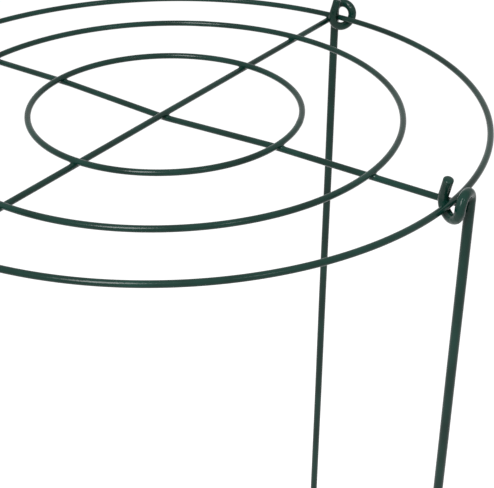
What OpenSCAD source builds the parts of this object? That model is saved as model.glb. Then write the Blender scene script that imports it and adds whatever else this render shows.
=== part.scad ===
// Grow-through plant support: a grid of three wire rings on two crossed wires,
// carried by four wire legs. The top of each leg is a curled hook that the outer ring rests in.
// Millimetres, +Z up. X and Y run along the cross wires, and the leg ends stand on Z = 0.

/* [Grid] */
// Diameter of the outer ring, measured at the middle of its wire
outer_ring_d = 406; // [330:1:620]
// Diameter of the middle ring, measured at the middle of its wire
middle_ring_d = 300; // [220:1:320]
// Diameter of the inner ring, measured at the middle of its wire
inner_ring_d = 174; // [100:1:210]
// Thickness of the wire that the rings are made of
ring_wire = 4; // [3:0.1:5]
// Thickness of the two cross wires
cross_wire = 4; // [3:0.1:5]
// How deep a weld sets one wire of the grid into the other
weld_sink = 0.8; // [0.4:0.1:1.2]
// How far a cross wire's ends stand out past the outer ring
cross_overhang = 1; // [0.5:0.1:1.5]

/* [Crossing] */
// Bend radius where the lower cross wire dips under the upper one
dip_bend_r = 40; // [20:1:60]
// Length of the level stretch of the lower cross wire under the crossing
dip_flat = 10; // [8:1:16]

/* [Legs] */
// Height of the rings above the leg ends
ring_height = 750; // [450:5:1000]
// Thickness of the wire that the legs are made of
leg_wire = 6; // [5:0.1:7]
// Length of the bevel round the cut ends of the leg wire
end_bevel = 0.8; // [0.4:0.1:1.2]

/* [Hook] */
// Gap between the ring's wire and the hook that cups it
seat_gap = 0.4; // [0.3:0.05:0.6]
// How far the hook reaches outwards from the ring, to the wire of its outer side
hook_reach = 15.5; // [14:0.5:18]
// Bend radius at the foot of the hook's outer side
outer_bend_r = 5.4; // [4.5:0.1:6.5]
// Bend radius of the curl over the top
curl_r = 7.25; // [6.5:0.25:8]
// Height of the hook's free end above the middle of the ring's wire
free_end_height = 15; // [12:0.5:20]
// Slope, in degrees, of the wire that climbs from under the ring to the outer side
climb_slope = 16; // [10:1:22]
// Lean, in degrees, of the free end over the ring
free_end_lean = 9; // [0:1:14]
// Turn, in degrees, of the hook's cup from square across the ring
cup_turn = 13; // [8:1:18]
// Turn, in degrees, of the curl from the line across the ring
curl_turn = 60; // [54:1:66]

/* [Hidden] */
$fn = 48;
coat = [0.05, 0.24, 0.18];
lap_width = 0.6;
lap_lift = 0.03;

// Heights of the two cross wires, which are welded to the underside of the rings
weld_drop = (ring_wire + cross_wire) / 2 - weld_sink;
cross_z = ring_height - weld_drop;
dip = cross_wire - weld_sink;
cross_length = outer_ring_d + ring_wire + 2 * cross_overhang;

// The dip is two opposite bends on each side of the crossing
dip_angle = acos(1 - dip / (2 * dip_bend_r));
dip_run = 2 * dip_bend_r * sin(dip_angle);
level_run = cross_length / 2 - dip_flat / 2 - dip_run;

// The hook's cup is bent round the middle of the ring's wire
ring_r = outer_ring_d / 2;
cup_r = ring_wire / 2 + leg_wire / 2 + seat_gap;
climb_run = (hook_reach - cup_r * sin(climb_slope) - outer_bend_r * (1 - sin(climb_slope)))
    / cos(climb_slope);
curl_z = climb_run * sin(climb_slope) + (outer_bend_r - cup_r) * cos(climb_slope);
free_run = (free_end_height - cup_r * sin(free_end_lean)) / cos(free_end_lean);

// Azimuth of the curl as seen from above, and the place of the leg beside the hook's seat
curl_azimuth = 180 - curl_turn;
leg_out = hook_reach * cos(cup_turn) + 2 * curl_r * cos(curl_azimuth);
leg_side = -hook_reach * sin(cup_turn) + 2 * curl_r * sin(curl_azimuth);
leg_length = ring_height + curl_z;

// Each hook sits beside a cross wire, so that its leg stands in line with the wire's end
hook_azimuth = -atan2(leg_side, ring_r + leg_out);

// Wire bending: each step draws its piece along +X and carries what follows to its end

// A straight run of wire
module run(length, wire) {
    rotate([0, 90, 0]) cylinder(d = wire, h = length);
    translate([length, 0, 0]) children();
}

// A bend towards +Y
module bend(radius, angle, wire) {
    translate([0, radius, 0]) {
        rotate([0, 0, -90]) rotate_extrude(angle = angle) translate([radius, 0]) circle(d = wire);
        rotate([0, 0, angle]) translate([0, -radius, 0]) children();
    }
}

// A turn of the bending plane about the wire
module roll(angle) {
    rotate([angle, 0, 0]) children();
}

// A band, a hair proud of the wire, that laps a bend and its neighbour so that they are one solid
module lap(wire) {
    rotate([0, 90, 0]) cylinder(d = wire + 2 * lap_lift, h = lap_width, center = true);
    children();
}

// A straight run along +Z, from a cut end with its bevel
module cut_wire(length, wire, bevel) {
    rotate_extrude() polygon([
        [0, 0], [wire / 2 - bevel, 0], [wire / 2, bevel], [wire / 2, length], [0, length]
    ]);
}

// The first and the last run of a wire
module first_run(length, wire, bevel) {
    rotate([0, 90, 0]) cut_wire(length, wire, bevel);
    translate([length, 0, 0]) children();
}

module last_run(length, wire, bevel) {
    translate([length, 0, 0]) rotate([0, -90, 0]) cut_wire(length, wire, bevel);
}

// A ring of the grid
module ring(diameter) {
    translate([0, 0, ring_height]) rotate_extrude() translate([diameter / 2, 0]) circle(d = ring_wire);
}

// All the rings together, as the welds cut them into the cross wires
module rings() {
    ring(outer_ring_d);
    ring(middle_ring_d);
    ring(inner_ring_d);
}

module outer_ring() {
    color(coat) ring(outer_ring_d);
}

module middle_ring() {
    color(coat) ring(middle_ring_d);
}

module inner_ring() {
    color(coat) ring(inner_ring_d);
}

// The straight cross wire, along Y
module upper_wire() {
    translate([0, -cross_length / 2, cross_z]) rotate([0, 0, 90]) run(cross_length, cross_wire);
}

// The other cross wire, along X, which dips under the straight one
module lower_wire() {
    translate([-cross_length / 2, 0, cross_z]) rotate([-90, 0, 0])
        run(level_run, cross_wire)
        lap(cross_wire) bend(dip_bend_r, dip_angle, cross_wire)
        lap(cross_wire) roll(180) bend(dip_bend_r, dip_angle, cross_wire)
        lap(cross_wire) run(dip_flat, cross_wire)
        lap(cross_wire) bend(dip_bend_r, dip_angle, cross_wire)
        lap(cross_wire) roll(180) bend(dip_bend_r, dip_angle, cross_wire)
        lap(cross_wire) run(level_run, cross_wire);
}

module upper_cross_wire() {
    color(coat) difference() {
        upper_wire();
        rings();
    }
}

module lower_cross_wire() {
    color(coat) difference() {
        lower_wire();
        rings();
        upper_wire();
    }
}

// One leg, bent in a single length of wire from its free end to the ground. The origin is the middle
// of the ring's wire, which the cup is bent round, and +X points out of the ring.
module leg_shape() {
    rotate([90, 0, -cup_turn]) rotate([0, 0, -free_end_lean])
        translate([-cup_r, free_run, 0]) rotate([0, 0, -90])
        first_run(free_run, leg_wire, end_bevel)
        lap(leg_wire) bend(cup_r, 90 + free_end_lean + climb_slope, leg_wire)
        lap(leg_wire) run(climb_run, leg_wire)
        lap(leg_wire) bend(outer_bend_r, 90 - climb_slope, leg_wire)
        lap(leg_wire) roll(curl_azimuth + cup_turn - 180) bend(curl_r, 180, leg_wire)
        lap(leg_wire) last_run(leg_length, leg_wire, end_bevel);
}

// A leg at the end of a cross wire
module leg(wire_azimuth) {
    color(coat) rotate([0, 0, wire_azimuth + hook_azimuth])
        translate([ring_r, 0, ring_height]) leg_shape();
}

module right_leg() {
    leg(0);
}

module back_leg() {
    leg(90);
}

module left_leg() {
    leg(180);
}

module front_leg() {
    leg(270);
}

outer_ring();
middle_ring();
inner_ring();
upper_cross_wire();
lower_cross_wire();
right_leg();
back_leg();
left_leg();
front_leg();
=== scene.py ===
import math

import bpy
from mathutils import Matrix, Vector


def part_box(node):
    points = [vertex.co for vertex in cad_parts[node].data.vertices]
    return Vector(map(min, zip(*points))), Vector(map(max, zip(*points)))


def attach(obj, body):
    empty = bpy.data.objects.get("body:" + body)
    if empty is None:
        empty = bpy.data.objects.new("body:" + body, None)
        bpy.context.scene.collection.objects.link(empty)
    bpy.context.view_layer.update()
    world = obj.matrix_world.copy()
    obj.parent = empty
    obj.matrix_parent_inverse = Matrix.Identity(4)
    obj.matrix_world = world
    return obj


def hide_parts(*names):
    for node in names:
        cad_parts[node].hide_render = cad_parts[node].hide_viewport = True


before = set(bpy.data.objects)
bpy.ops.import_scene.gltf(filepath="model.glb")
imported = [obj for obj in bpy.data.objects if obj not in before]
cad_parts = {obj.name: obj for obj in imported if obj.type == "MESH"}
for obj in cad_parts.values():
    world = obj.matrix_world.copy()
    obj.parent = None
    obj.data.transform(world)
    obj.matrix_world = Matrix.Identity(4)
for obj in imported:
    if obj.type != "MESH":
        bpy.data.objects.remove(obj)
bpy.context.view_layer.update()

scene = bpy.context.scene


# Node trees: a socket that takes part in sums, and one way to add any other node

class Sock:
    def __init__(self, tree, socket):
        self.tree = tree
        self.socket = socket

    def sum(self, operation, first, second):
        return addNode(self.tree, "ShaderNodeMath", {"operation": operation}, {0: first, 1: second})

    def __add__(self, other):
        return self.sum("ADD", self, other)

    def __radd__(self, other):
        return self.sum("ADD", other, self)

    def __sub__(self, other):
        return self.sum("SUBTRACT", self, other)

    def __rsub__(self, other):
        return self.sum("SUBTRACT", other, self)

    def __mul__(self, other):
        return self.sum("MULTIPLY", self, other)

    def __rmul__(self, other):
        return self.sum("MULTIPLY", other, self)

    def __truediv__(self, other):
        return self.sum("DIVIDE", self, other)

    def atLeast(self, other):
        return self.sum("MAXIMUM", self, other)

    def atMost(self, other):
        return self.sum("MINIMUM", self, other)


def addNode(tree, kind, settings=None, inputs=None, output=0):
    node = tree.nodes.new(kind)
    for name, value in (settings or {}).items():
        if name == "stops":      # a ramp's stops: place and colour
            ramp = node.color_ramp
            while len(ramp.elements) < len(value):
                ramp.elements.new(1.0)
            for element, (place, colour) in zip(ramp.elements, value):
                element.position = place
                element.color = colour
        else:
            setattr(node, name, value)
    for name, value in (inputs or {}).items():
        if isinstance(value, Sock):
            tree.links.new(value.socket, node.inputs[name])
        else:
            node.inputs[name].default_value = value
    if not node.outputs:
        return None
    return Sock(tree, node.outputs[output])


def addObject(name, data):
    added = bpy.data.objects.new(name, data)
    scene.collection.objects.link(added)
    return added


# Camera: the photograph's side of the object, from a little above the rings

cameraSetup = {
    "frameWidth": 494,         # pixels of the picture
    "focalLength": 1200.0,     # pixels
    "rightAzimuth": 36.09,     # degrees from +X to the picture's right
    "sideways": 0.1435,        # the next three in outer ring radii, from the rings' centre
    "away": 3.4243,
    "above": 1.5954,
    "pitch": 29.81,            # degrees down from level
    "roll": -0.56,
    "shiftRight": 0.071,
    "shiftUp": -0.07,
    "sensor": 36.0,            # millimetres
    "farthest": 50.0,          # metres that the camera sees
}


def makeCamera(ringRadius, ringHeight):
    c = cameraSetup
    turn = math.radians(c["rightAzimuth"])
    pitch = math.radians(c["pitch"])
    roll = math.radians(c["roll"])
    right = Vector((math.cos(turn), math.sin(turn), 0))
    ahead = Vector((-math.sin(turn), math.cos(turn), 0))
    upward = Vector((0, 0, 1))
    spot = c["sideways"] * right - c["away"] * ahead + c["above"] * upward
    up = math.sin(pitch) * ahead + math.cos(pitch) * upward
    back = math.sin(pitch) * upward - math.cos(pitch) * ahead
    side = math.cos(roll) * right + math.sin(roll) * up
    top = math.cos(roll) * up - math.sin(roll) * right
    data = bpy.data.cameras.new("camera")
    data.sensor_width = c["sensor"]
    data.lens = c["focalLength"] * c["sensor"] / c["frameWidth"]
    data.shift_x = c["shiftRight"]
    data.shift_y = c["shiftUp"]
    data.clip_end = c["farthest"]
    camera = addObject("camera", data)
    place = Matrix((side, top, back)).transposed().to_4x4()
    place.translation = Vector((0, 0, ringHeight)) + ringRadius * spot
    camera.matrix_world = place
    scene.camera = camera
    return right, ahead


# Coat: glossy dark green over steel wire

coatLook = {
    "deepGreen": (0.0025, 0.0202, 0.0138, 1),
    "paleGreen": (0.0056, 0.0405, 0.0298, 1),
    "deepAt": 0.32,            # places of the two greens in the clouds
    "paleAt": 0.68,
    "cloudScale": 28.0,        # patches of colour, per metre
    "cloudDetail": 3.0,
    "cloudRoughness": 0.55,
    "peelScale": 900.0,        # orange peel of the coat, per metre
    "peelDetail": 1.0,
    "peelHeight": 0.00003,
    "flowScale": 160.0,        # slow waves where the coat ran before it set
    "flowDetail": 2.0,
    "flowHeight": 0.00008,
    "glossLow": 0.12,
    "glossHigh": 0.26,
    "shine": 0.20,             # a polymer skin: less mirror than glass
    "lumpScale": 380.0,        # lumps where the coat gathered on the bends of a hook
    "lumpDetail": 1.0,
    "lumpHeight": 0.00032,
    "lumpBelow": 0.014,        # how far under the rings the lumps begin
    "lumpBlend": 0.008,        # height over which they come in
}


def makeCoat(name, ringHeight, isLumpy):
    look = coatLook
    material = bpy.data.materials.new(name)
    material.use_nodes = True
    tree = material.node_tree
    tree.nodes.clear()
    place = addNode(tree, "ShaderNodeTexCoord", output=3)
    cloud = addNode(tree, "ShaderNodeTexNoise", {}, {
        "Vector": place, "Scale": look["cloudScale"],
        "Detail": look["cloudDetail"], "Roughness": look["cloudRoughness"]})
    stops = [(look["deepAt"], look["deepGreen"]), (look["paleAt"], look["paleGreen"])]
    colour = addNode(tree, "ShaderNodeValToRGB", {"stops": stops}, {"Fac": cloud})
    peel = addNode(tree, "ShaderNodeTexNoise", {}, {
        "Vector": place, "Scale": look["peelScale"], "Detail": look["peelDetail"]})
    flow = addNode(tree, "ShaderNodeTexNoise", {}, {
        "Vector": place, "Scale": look["flowScale"], "Detail": look["flowDetail"]})
    gloss = look["glossLow"] + (look["glossHigh"] - look["glossLow"]) * flow
    height = flow * look["flowHeight"]
    if isLumpy:
        level = addNode(tree, "ShaderNodeSeparateXYZ", {}, {0: place}, output=2)
        lumpStart = ringHeight - look["lumpBelow"]
        share = ((level - lumpStart) / look["lumpBlend"]).atLeast(0).atMost(1)
        lumps = addNode(tree, "ShaderNodeTexNoise", {}, {
            "Vector": place, "Scale": look["lumpScale"], "Detail": look["lumpDetail"]})
        height = height + lumps * look["lumpHeight"] * share
    waves = addNode(tree, "ShaderNodeBump", {}, {
        "Height": height, "Distance": 1.0, "Strength": 1.0})
    grain = addNode(tree, "ShaderNodeBump", {}, {
        "Height": peel * look["peelHeight"], "Distance": 1.0, "Strength": 1.0, "Normal": waves})
    shader = addNode(tree, "ShaderNodeBsdfPrincipled", {}, {
        "Base Color": colour, "Roughness": gloss, "Normal": grain,
        "Specular IOR Level": look["shine"]})
    addNode(tree, "ShaderNodeOutputMaterial", {}, {"Surface": shader})
    return material


# Wire paths: a bending machine that notes the middle of the wire as it goes

class Bender:
    def __init__(self, start, runStep, bendStep):
        self.place = start.copy()
        self.runStep = runStep
        self.bendStep = bendStep
        self.points = [start.translation.copy()]

    def go(self, move):
        self.place = self.place @ move
        self.points.append(self.place.translation.copy())

    def run(self, length, step=None):
        count = max(1, round(length / (step or self.runStep)))
        for _ in range(count):
            self.go(Matrix.Translation((length / count, 0, 0)))

    def bend(self, radius, degrees):
        count = max(2, round(degrees / self.bendStep))
        turn = Matrix.Rotation(math.radians(degrees / count), 4, "Z")
        arc = Matrix.Translation((0, radius, 0)) @ turn @ Matrix.Translation((0, -radius, 0))
        for _ in range(count):
            self.go(arc)

    def roll(self, degrees):
        self.place = self.place @ Matrix.Rotation(math.radians(degrees), 4, "X")


def turned(degrees, axis):
    return Matrix.Rotation(math.radians(degrees), 4, axis)


def makePath(name, lines):
    data = bpy.data.curves.new(name, "CURVE")
    data.dimensions = "3D"
    for points, radii, closed in lines:
        spline = data.splines.new("POLY")
        spline.points.add(len(points) - 1)
        for point, place, radius in zip(spline.points, points, radii):
            point.co = (place.x, place.y, place.z, 1)
            point.radius = radius
        spline.use_cyclic_u = closed
    return addObject(name, data)


endDome = 0.62               # how much of the wire's radius the rounded end takes away


def endRadii(points, rounding):
    # the coat rounds a cut end over, so the wire's radius runs down to a small flat there
    lengths = [0.0]
    for a, b in zip(points, points[1:]):
        lengths.append(lengths[-1] + (b - a).length)
    radii = []
    for length in lengths:
        near = min(length, lengths[-1] - length) / rounding
        radii.append(1.0 if near >= 1 else 1 - endDome * (1 - math.sqrt(1 - (1 - near) ** 2)))
    return radii


# Rings and cross wires, measured on the solids

gridLook = {
    "ringPoints": {"outer_ring": 1680, "middle_ring": 1240, "inner_ring": 760},
    "seamAzimuth": {"outer_ring": 203.0, "middle_ring": 117.0, "inner_ring": 21.0},
    "seamSwell": 0.05,         # share of the wire's radius where a ring's ends are welded together
    "seamLength": 0.0035,
    "crossStep": 0.0006,
    "bendStep": 0.6,           # degrees between points of a gentle bend
    "endRound": 0.0011,
    "weldRise": 0.0006,        # fillet of coat and weld metal where two wires cross
    "weldReach": 0.0024,
    "waver": 0.00012,          # how far the wire wanders each way
    "waverScale": 9.0,         # per metre
    "sides": 24,
}


def ringSize(node):
    low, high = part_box(node)
    wire = high[2] - low[2]
    radius = (high[0] - low[0] - wire) / 2
    height = (high[2] + low[2]) / 2
    return wire, radius, height


def ringPath(node):
    _, radius, height = ringSize(node)
    count = gridLook["ringPoints"][node]
    seam = math.radians(gridLook["seamAzimuth"][node])
    points = []
    radii = []
    for i in range(count):
        angle = 2 * math.pi * i / count
        away = math.remainder(angle - seam, 2 * math.pi) * radius / gridLook["seamLength"]
        points.append(Vector((radius * math.cos(angle), radius * math.sin(angle), height)))
        radii.append(1 + gridLook["seamSwell"] * math.exp(-away * away))
    return points, radii, True


crossDip = {
    "bendRadius": 0.080,
    "inset": 0.005,            # how far inside the inner ring the lower wire starts to dip
}


def upperPath():
    low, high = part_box("upper_cross_wire")
    wire = high[0] - low[0]
    start = Matrix.Translation((0, low[1], low[2] + wire / 2)) @ turned(90, "Z")
    bender = Bender(start, gridLook["crossStep"], gridLook["bendStep"])
    bender.run(high[1] - low[1])
    return bender.points, endRadii(bender.points, gridLook["endRound"]), False


def lowerPath():
    low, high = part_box("lower_cross_wire")
    upperLow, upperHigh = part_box("upper_cross_wire")
    wire = upperHigh[0] - upperLow[0]
    level = upperLow[2] + wire / 2
    dip = level - wire / 2 - low[2]
    innerLow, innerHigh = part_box("inner_ring")
    dipHalf = (innerHigh[0] - innerLow[0] - wire) / 2 - crossDip["inset"]
    radius = crossDip["bendRadius"]
    lift = 2 * radius - dip
    angle = math.asin(2 * radius / math.hypot(dipHalf, lift)) - math.atan2(lift, dipHalf)
    slopeRun = (dipHalf - 2 * radius * math.sin(angle)) / math.cos(angle)
    degrees = math.degrees(angle)
    levelRun = (high[0] - low[0]) / 2 - dipHalf
    start = Matrix.Translation((low[0], 0, level)) @ turned(-90, "X")
    bender = Bender(start, gridLook["crossStep"], gridLook["bendStep"])
    bender.run(levelRun)
    bender.bend(radius, degrees)
    bender.run(slopeRun)
    bender.roll(180)
    bender.bend(radius, 2 * degrees)
    bender.run(slopeRun)
    bender.roll(180)
    bender.bend(radius, degrees)
    bender.run(levelRun)
    return bender.points, endRadii(bender.points, gridLook["endRound"]), False


# Legs: one length of wire each, bent into a hook that cups the outer ring

legLook = {
    "wire": 0.006,
    "cup": 0.0083,             # bend radius of the cup under the ring
    "cupOut": 0.0021,          # place of the cup's middle, outwards and upwards from the ring's wire
    "cupUp": 0.0011,
    "curl": 0.00725,
    "freeEnd": 0.0145,
    "freeLean": 16.0,
    "cupTurn": 29.0,
    "curlTurn": 85.0,
    "hookStep": 0.0006,
    "shankStep": 0.006,
    "fineEnd": 0.004,          # finer steps on this last stretch, for the rounded end
    "endStep": 0.00012,
    "bendStep": 4.0,
    "endRound": 0.0009,
    "waver": 0.00016,
    "waverScale": 9.0,
    "sides": 32,
}


def legPath(azimuth):
    leg = legLook
    _, ringRadius, ringHeight = ringSize("outer_ring")
    lean = math.radians(leg["freeLean"])
    cupTurn = math.radians(leg["cupTurn"])
    curlAzimuth = math.radians(180 - leg["curlTurn"])
    freeRun = (leg["freeEnd"] - leg["cupUp"] - leg["cup"] * math.sin(lean)) / math.cos(lean)
    reach = leg["cupOut"] + leg["cup"]
    legOut = reach * math.cos(cupTurn) + 2 * leg["curl"] * math.cos(curlAzimuth)
    legSide = 2 * leg["curl"] * math.sin(curlAzimuth) - reach * math.sin(cupTurn)
    hookAzimuth = -math.degrees(math.atan2(legSide, ringRadius + legOut))
    start = turned(azimuth + hookAzimuth, "Z") @ Matrix.Translation((ringRadius, 0, ringHeight))
    start = start @ turned(-leg["cupTurn"], "Z") @ turned(90, "X")
    start = start @ Matrix.Translation((leg["cupOut"], leg["cupUp"], 0))
    start = start @ turned(-leg["freeLean"], "Z")
    start = start @ Matrix.Translation((-leg["cup"], freeRun, 0)) @ turned(-90, "Z")
    bender = Bender(start, leg["hookStep"], leg["bendStep"])
    bender.run(leg["fineEnd"], leg["endStep"])
    bender.run(freeRun - leg["fineEnd"])
    bender.bend(leg["cup"], 180 + leg["freeLean"])
    bender.roll(leg["cupTurn"] - leg["curlTurn"])
    bender.bend(leg["curl"], 180)
    bender.run(ringHeight + leg["cupUp"] - leg["fineEnd"], leg["shankStep"])
    bender.run(leg["fineEnd"], leg["endStep"])
    return bender.points, endRadii(bender.points, leg["endRound"]), False


# The tree that draws a coated wire round a path, with a fillet where it is welded to others

wireInputs = [
    ("Path", "NodeSocketObject"),
    ("Welded To", "NodeSocketObject"),
    ("Thickness", "NodeSocketFloat"),
    ("Weld Thickness", "NodeSocketFloat"),
    ("Weld Rise", "NodeSocketFloat"),
    ("Weld Reach", "NodeSocketFloat"),
    ("Waver", "NodeSocketFloat"),
    ("Waver Scale", "NodeSocketFloat"),
    ("Seed", "NodeSocketFloat"),
    ("Sides", "NodeSocketInt"),
    ("Coat", "NodeSocketMaterial"),
]


def makeWireTree():
    tree = bpy.data.node_groups.new("coatedWire", "GeometryNodeTree")
    tree.interface.new_socket(name="Geometry", in_out="INPUT", socket_type="NodeSocketGeometry")
    for name, kind in wireInputs:
        tree.interface.new_socket(name=name, in_out="INPUT", socket_type=kind)
    tree.interface.new_socket(name="Geometry", in_out="OUTPUT", socket_type="NodeSocketGeometry")
    entry = tree.nodes.new("NodeGroupInput")
    given = {name: Sock(tree, entry.outputs[name]) for name, kind in wireInputs}
    path = addNode(tree, "GeometryNodeObjectInfo", {}, {"Object": given["Path"]}, output=4)

    # a wire is never quite straight or quite round
    spot = addNode(tree, "GeometryNodeInputPosition")
    noise = addNode(tree, "ShaderNodeTexNoise", {"noise_dimensions": "4D"}, {
        "Vector": spot, "W": given["Seed"], "Scale": given["Waver Scale"], "Detail": 0.0}, output=1)
    centred = addNode(tree, "ShaderNodeVectorMath", {"operation": "SUBTRACT"}, {
        0: noise, 1: (0.5, 0.5, 0.5)})
    drift = addNode(tree, "ShaderNodeVectorMath", {"operation": "SCALE"}, {
        0: centred, "Scale": given["Waver"] * 2})     # the noise reaches a half each way
    path = addNode(tree, "GeometryNodeSetPosition", {}, {"Geometry": path, "Offset": drift})

    # the round of the wire, drawn along the path with the radius that the path gives
    profile = addNode(tree, "GeometryNodeCurvePrimitiveCircle", {}, {
        "Resolution": given["Sides"], "Radius": given["Thickness"] / 2})
    radius = addNode(tree, "GeometryNodeInputRadius")
    wire = addNode(tree, "GeometryNodeCurveToMesh", {}, {
        "Curve": path, "Profile Curve": profile, "Scale": radius, "Fill Caps": True})

    # close to a wire that it is welded to, the surface swells into a fillet
    other = addNode(tree, "GeometryNodeObjectInfo", {}, {"Object": given["Welded To"]}, output=4)
    otherRound = addNode(tree, "GeometryNodeCurvePrimitiveCircle", {}, {
        "Resolution": given["Sides"], "Radius": given["Weld Thickness"] / 2})
    otherWire = addNode(tree, "GeometryNodeCurveToMesh", {}, {
        "Curve": other, "Profile Curve": otherRound})
    gap = addNode(tree, "GeometryNodeProximity", {"target_element": "FACES"}, {0: otherWire}, output=1)
    near = (1 - gap / given["Weld Reach"]).atLeast(0)
    rise = given["Weld Rise"] * near * near
    normal = addNode(tree, "GeometryNodeInputNormal")
    swell = addNode(tree, "ShaderNodeVectorMath", {"operation": "SCALE"}, {0: normal, "Scale": rise})
    wire = addNode(tree, "GeometryNodeSetPosition", {}, {"Geometry": wire, "Offset": swell})

    wire = addNode(tree, "GeometryNodeSetShadeSmooth", {}, {"Geometry": wire, "Shade Smooth": True})
    wire = addNode(tree, "GeometryNodeRealizeInstances", {}, {"Geometry": wire})
    wire = addNode(tree, "GeometryNodeSetMaterial", {}, {"Geometry": wire, "Material": given["Coat"]})
    addNode(tree, "NodeGroupOutput", {}, {"Geometry": wire})
    return tree


def drawWire(tree, node, body, values):
    carrier = addObject(node + "Carrier", bpy.data.meshes.new(node + "Carrier"))
    modifier = carrier.modifiers.new("coatedWire", "NODES")
    modifier.node_group = tree
    items = tree.interface.items_tree
    sockets = {item.name: item.identifier for item in items if item.in_out == "INPUT"}
    for name, value in values.items():
        modifier[sockets[name]] = value
    bpy.context.view_layer.update()
    depsgraph = bpy.context.evaluated_depsgraph_get()
    mesh = bpy.data.meshes.new_from_object(carrier.evaluated_get(depsgraph))
    carrier.modifiers.remove(modifier)
    bpy.data.objects.remove(carrier)
    mesh.name = "coated_" + node
    piece = addObject("coated_" + node, mesh)
    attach(piece, body)
    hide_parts(node)
    print("drew", piece.name, "with", len(mesh.polygons), "faces")


# Stage: a pale floor, a white room and soft light

stageLook = {
    "floorSize": 30.0,
    "floorShade": (0.86, 0.86, 0.86, 1),
    "floorGlow": 0.68,
    "roomLight": 0.36,
    "frontAim": 0.15,          # metres in front of the rings' centre
}

# each lamp's way from the rings is to the picture's right, ahead and up
lampLook = {
    "key": {"power": 9.0, "width": 0.46, "height": 1.1, "distance": 1.35, "spread": 120.0,
            "way": (-0.28, -0.66, 0.70)},
    "glint": {"power": 2.0, "width": 0.25, "height": 0.25, "distance": 1.6, "spread": 180.0,
              "way": (0.45, -0.65, 0.60)},
}


def whiteRays(tree):
    # 1 for the rays that show the background, straight or in a reflection
    rays = tree.nodes.new("ShaderNodeLightPath")
    seen = [Sock(tree, rays.outputs[name]) for name in (
        "Is Camera Ray", "Is Glossy Ray", "Is Transmission Ray")]
    return seen[0].atLeast(seen[1]).atLeast(seen[2])


def makeWorld():
    world = bpy.data.worlds.new("room")
    scene.world = world
    world.use_nodes = True
    tree = world.node_tree
    tree.nodes.clear()
    strength = stageLook["roomLight"] + (1 - stageLook["roomLight"]) * whiteRays(tree)
    shader = addNode(tree, "ShaderNodeBackground", {}, {"Color": (1, 1, 1, 1), "Strength": strength})
    addNode(tree, "ShaderNodeOutputWorld", {}, {"Surface": shader})


def makeFloor():
    half = stageLook["floorSize"] / 2
    mesh = bpy.data.meshes.new("floor")
    corners = [(-half, -half, 0), (half, -half, 0), (half, half, 0), (-half, half, 0)]
    mesh.from_pydata(corners, [], [(0, 1, 2, 3)])
    floor = addObject("floor", mesh)
    material = bpy.data.materials.new("paleFloor")
    material.use_nodes = True
    tree = material.node_tree
    tree.nodes.clear()
    matt = addNode(tree, "ShaderNodeBsdfDiffuse", {}, {"Color": stageLook["floorShade"]})
    strength = stageLook["floorGlow"] * whiteRays(tree)
    glow = addNode(tree, "ShaderNodeEmission", {}, {"Color": (1, 1, 1, 1), "Strength": strength})
    both = addNode(tree, "ShaderNodeAddShader", {}, {0: matt, 1: glow})
    addNode(tree, "ShaderNodeOutputMaterial", {}, {"Surface": both})
    mesh.materials.append(material)


def makeLamp(name, look, spot, target):
    data = bpy.data.lights.new(name, "AREA")
    data.shape = "ELLIPSE"
    data.energy = look["power"]
    data.size = look["width"]
    data.size_y = look["height"]
    data.spread = math.radians(look["spread"])
    lamp = addObject(name, data)
    lamp.location = spot
    lamp.rotation_euler = (target - spot).to_track_quat("-Z", "Y").to_euler()


def makeStage(right, ahead, ringHeight):
    makeWorld()
    makeFloor()
    upward = Vector((0, 0, 1))
    front = ringHeight * upward - stageLook["frontAim"] * ahead
    for name, look in lampLook.items():
        toRight, toAhead, toUp = look["way"]
        way = (toRight * right + toAhead * ahead + toUp * upward).normalized()
        makeLamp(name, look, front + look["distance"] * way, front)


# Making

ringWire, ringRadius, ringHeight = ringSize("outer_ring")
right, ahead = makeCamera(ringRadius, ringHeight)
print("camera placed")

gridCoat = makeCoat("gridCoat", ringHeight, False)
legCoat = makeCoat("legCoat", ringHeight, True)
wireTree = makeWireTree()
ringNodes = ["outer_ring", "middle_ring", "inner_ring"]
lines = {node: ringPath(node) for node in ringNodes}
lines["upper_cross_wire"] = upperPath()
lines["lower_cross_wire"] = lowerPath()
legNodes = ["right_leg", "back_leg", "left_leg", "front_leg"]
for quarter, node in enumerate(legNodes):
    lines[node] = legPath(90 * quarter)
weldedTo = {node: ["upper_cross_wire", "lower_cross_wire"] for node in ringNodes}
weldedTo["upper_cross_wire"] = ringNodes + ["lower_cross_wire"]
weldedTo["lower_cross_wire"] = ringNodes + ["upper_cross_wire"]
print("paths laid out:", len(lines))

for seed, (node, line) in enumerate(lines.items()):
    isLeg = node in legNodes
    look = legLook if isLeg else gridLook
    path = makePath(node + "Path", [line])
    others = makePath(node + "Others", [lines[name] for name in weldedTo.get(node, [node])])
    drawWire(wireTree, node, node if isLeg else "grid", {
        "Path": path,
        "Welded To": others,
        "Thickness": legLook["wire"] if isLeg else ringWire,
        "Weld Thickness": ringWire,
        "Weld Rise": 0.0 if isLeg else gridLook["weldRise"],
        "Weld Reach": gridLook["weldReach"],
        "Waver": look["waver"],
        "Waver Scale": look["waverScale"],
        "Seed": float(seed),
        "Sides": look["sides"],
        "Coat": legCoat if isLeg else gridCoat,
    })
    bpy.data.objects.remove(path)
    bpy.data.objects.remove(others)

makeStage(right, ahead, ringHeight)
scene.view_settings.view_transform = "Standard"
print("stage lit")
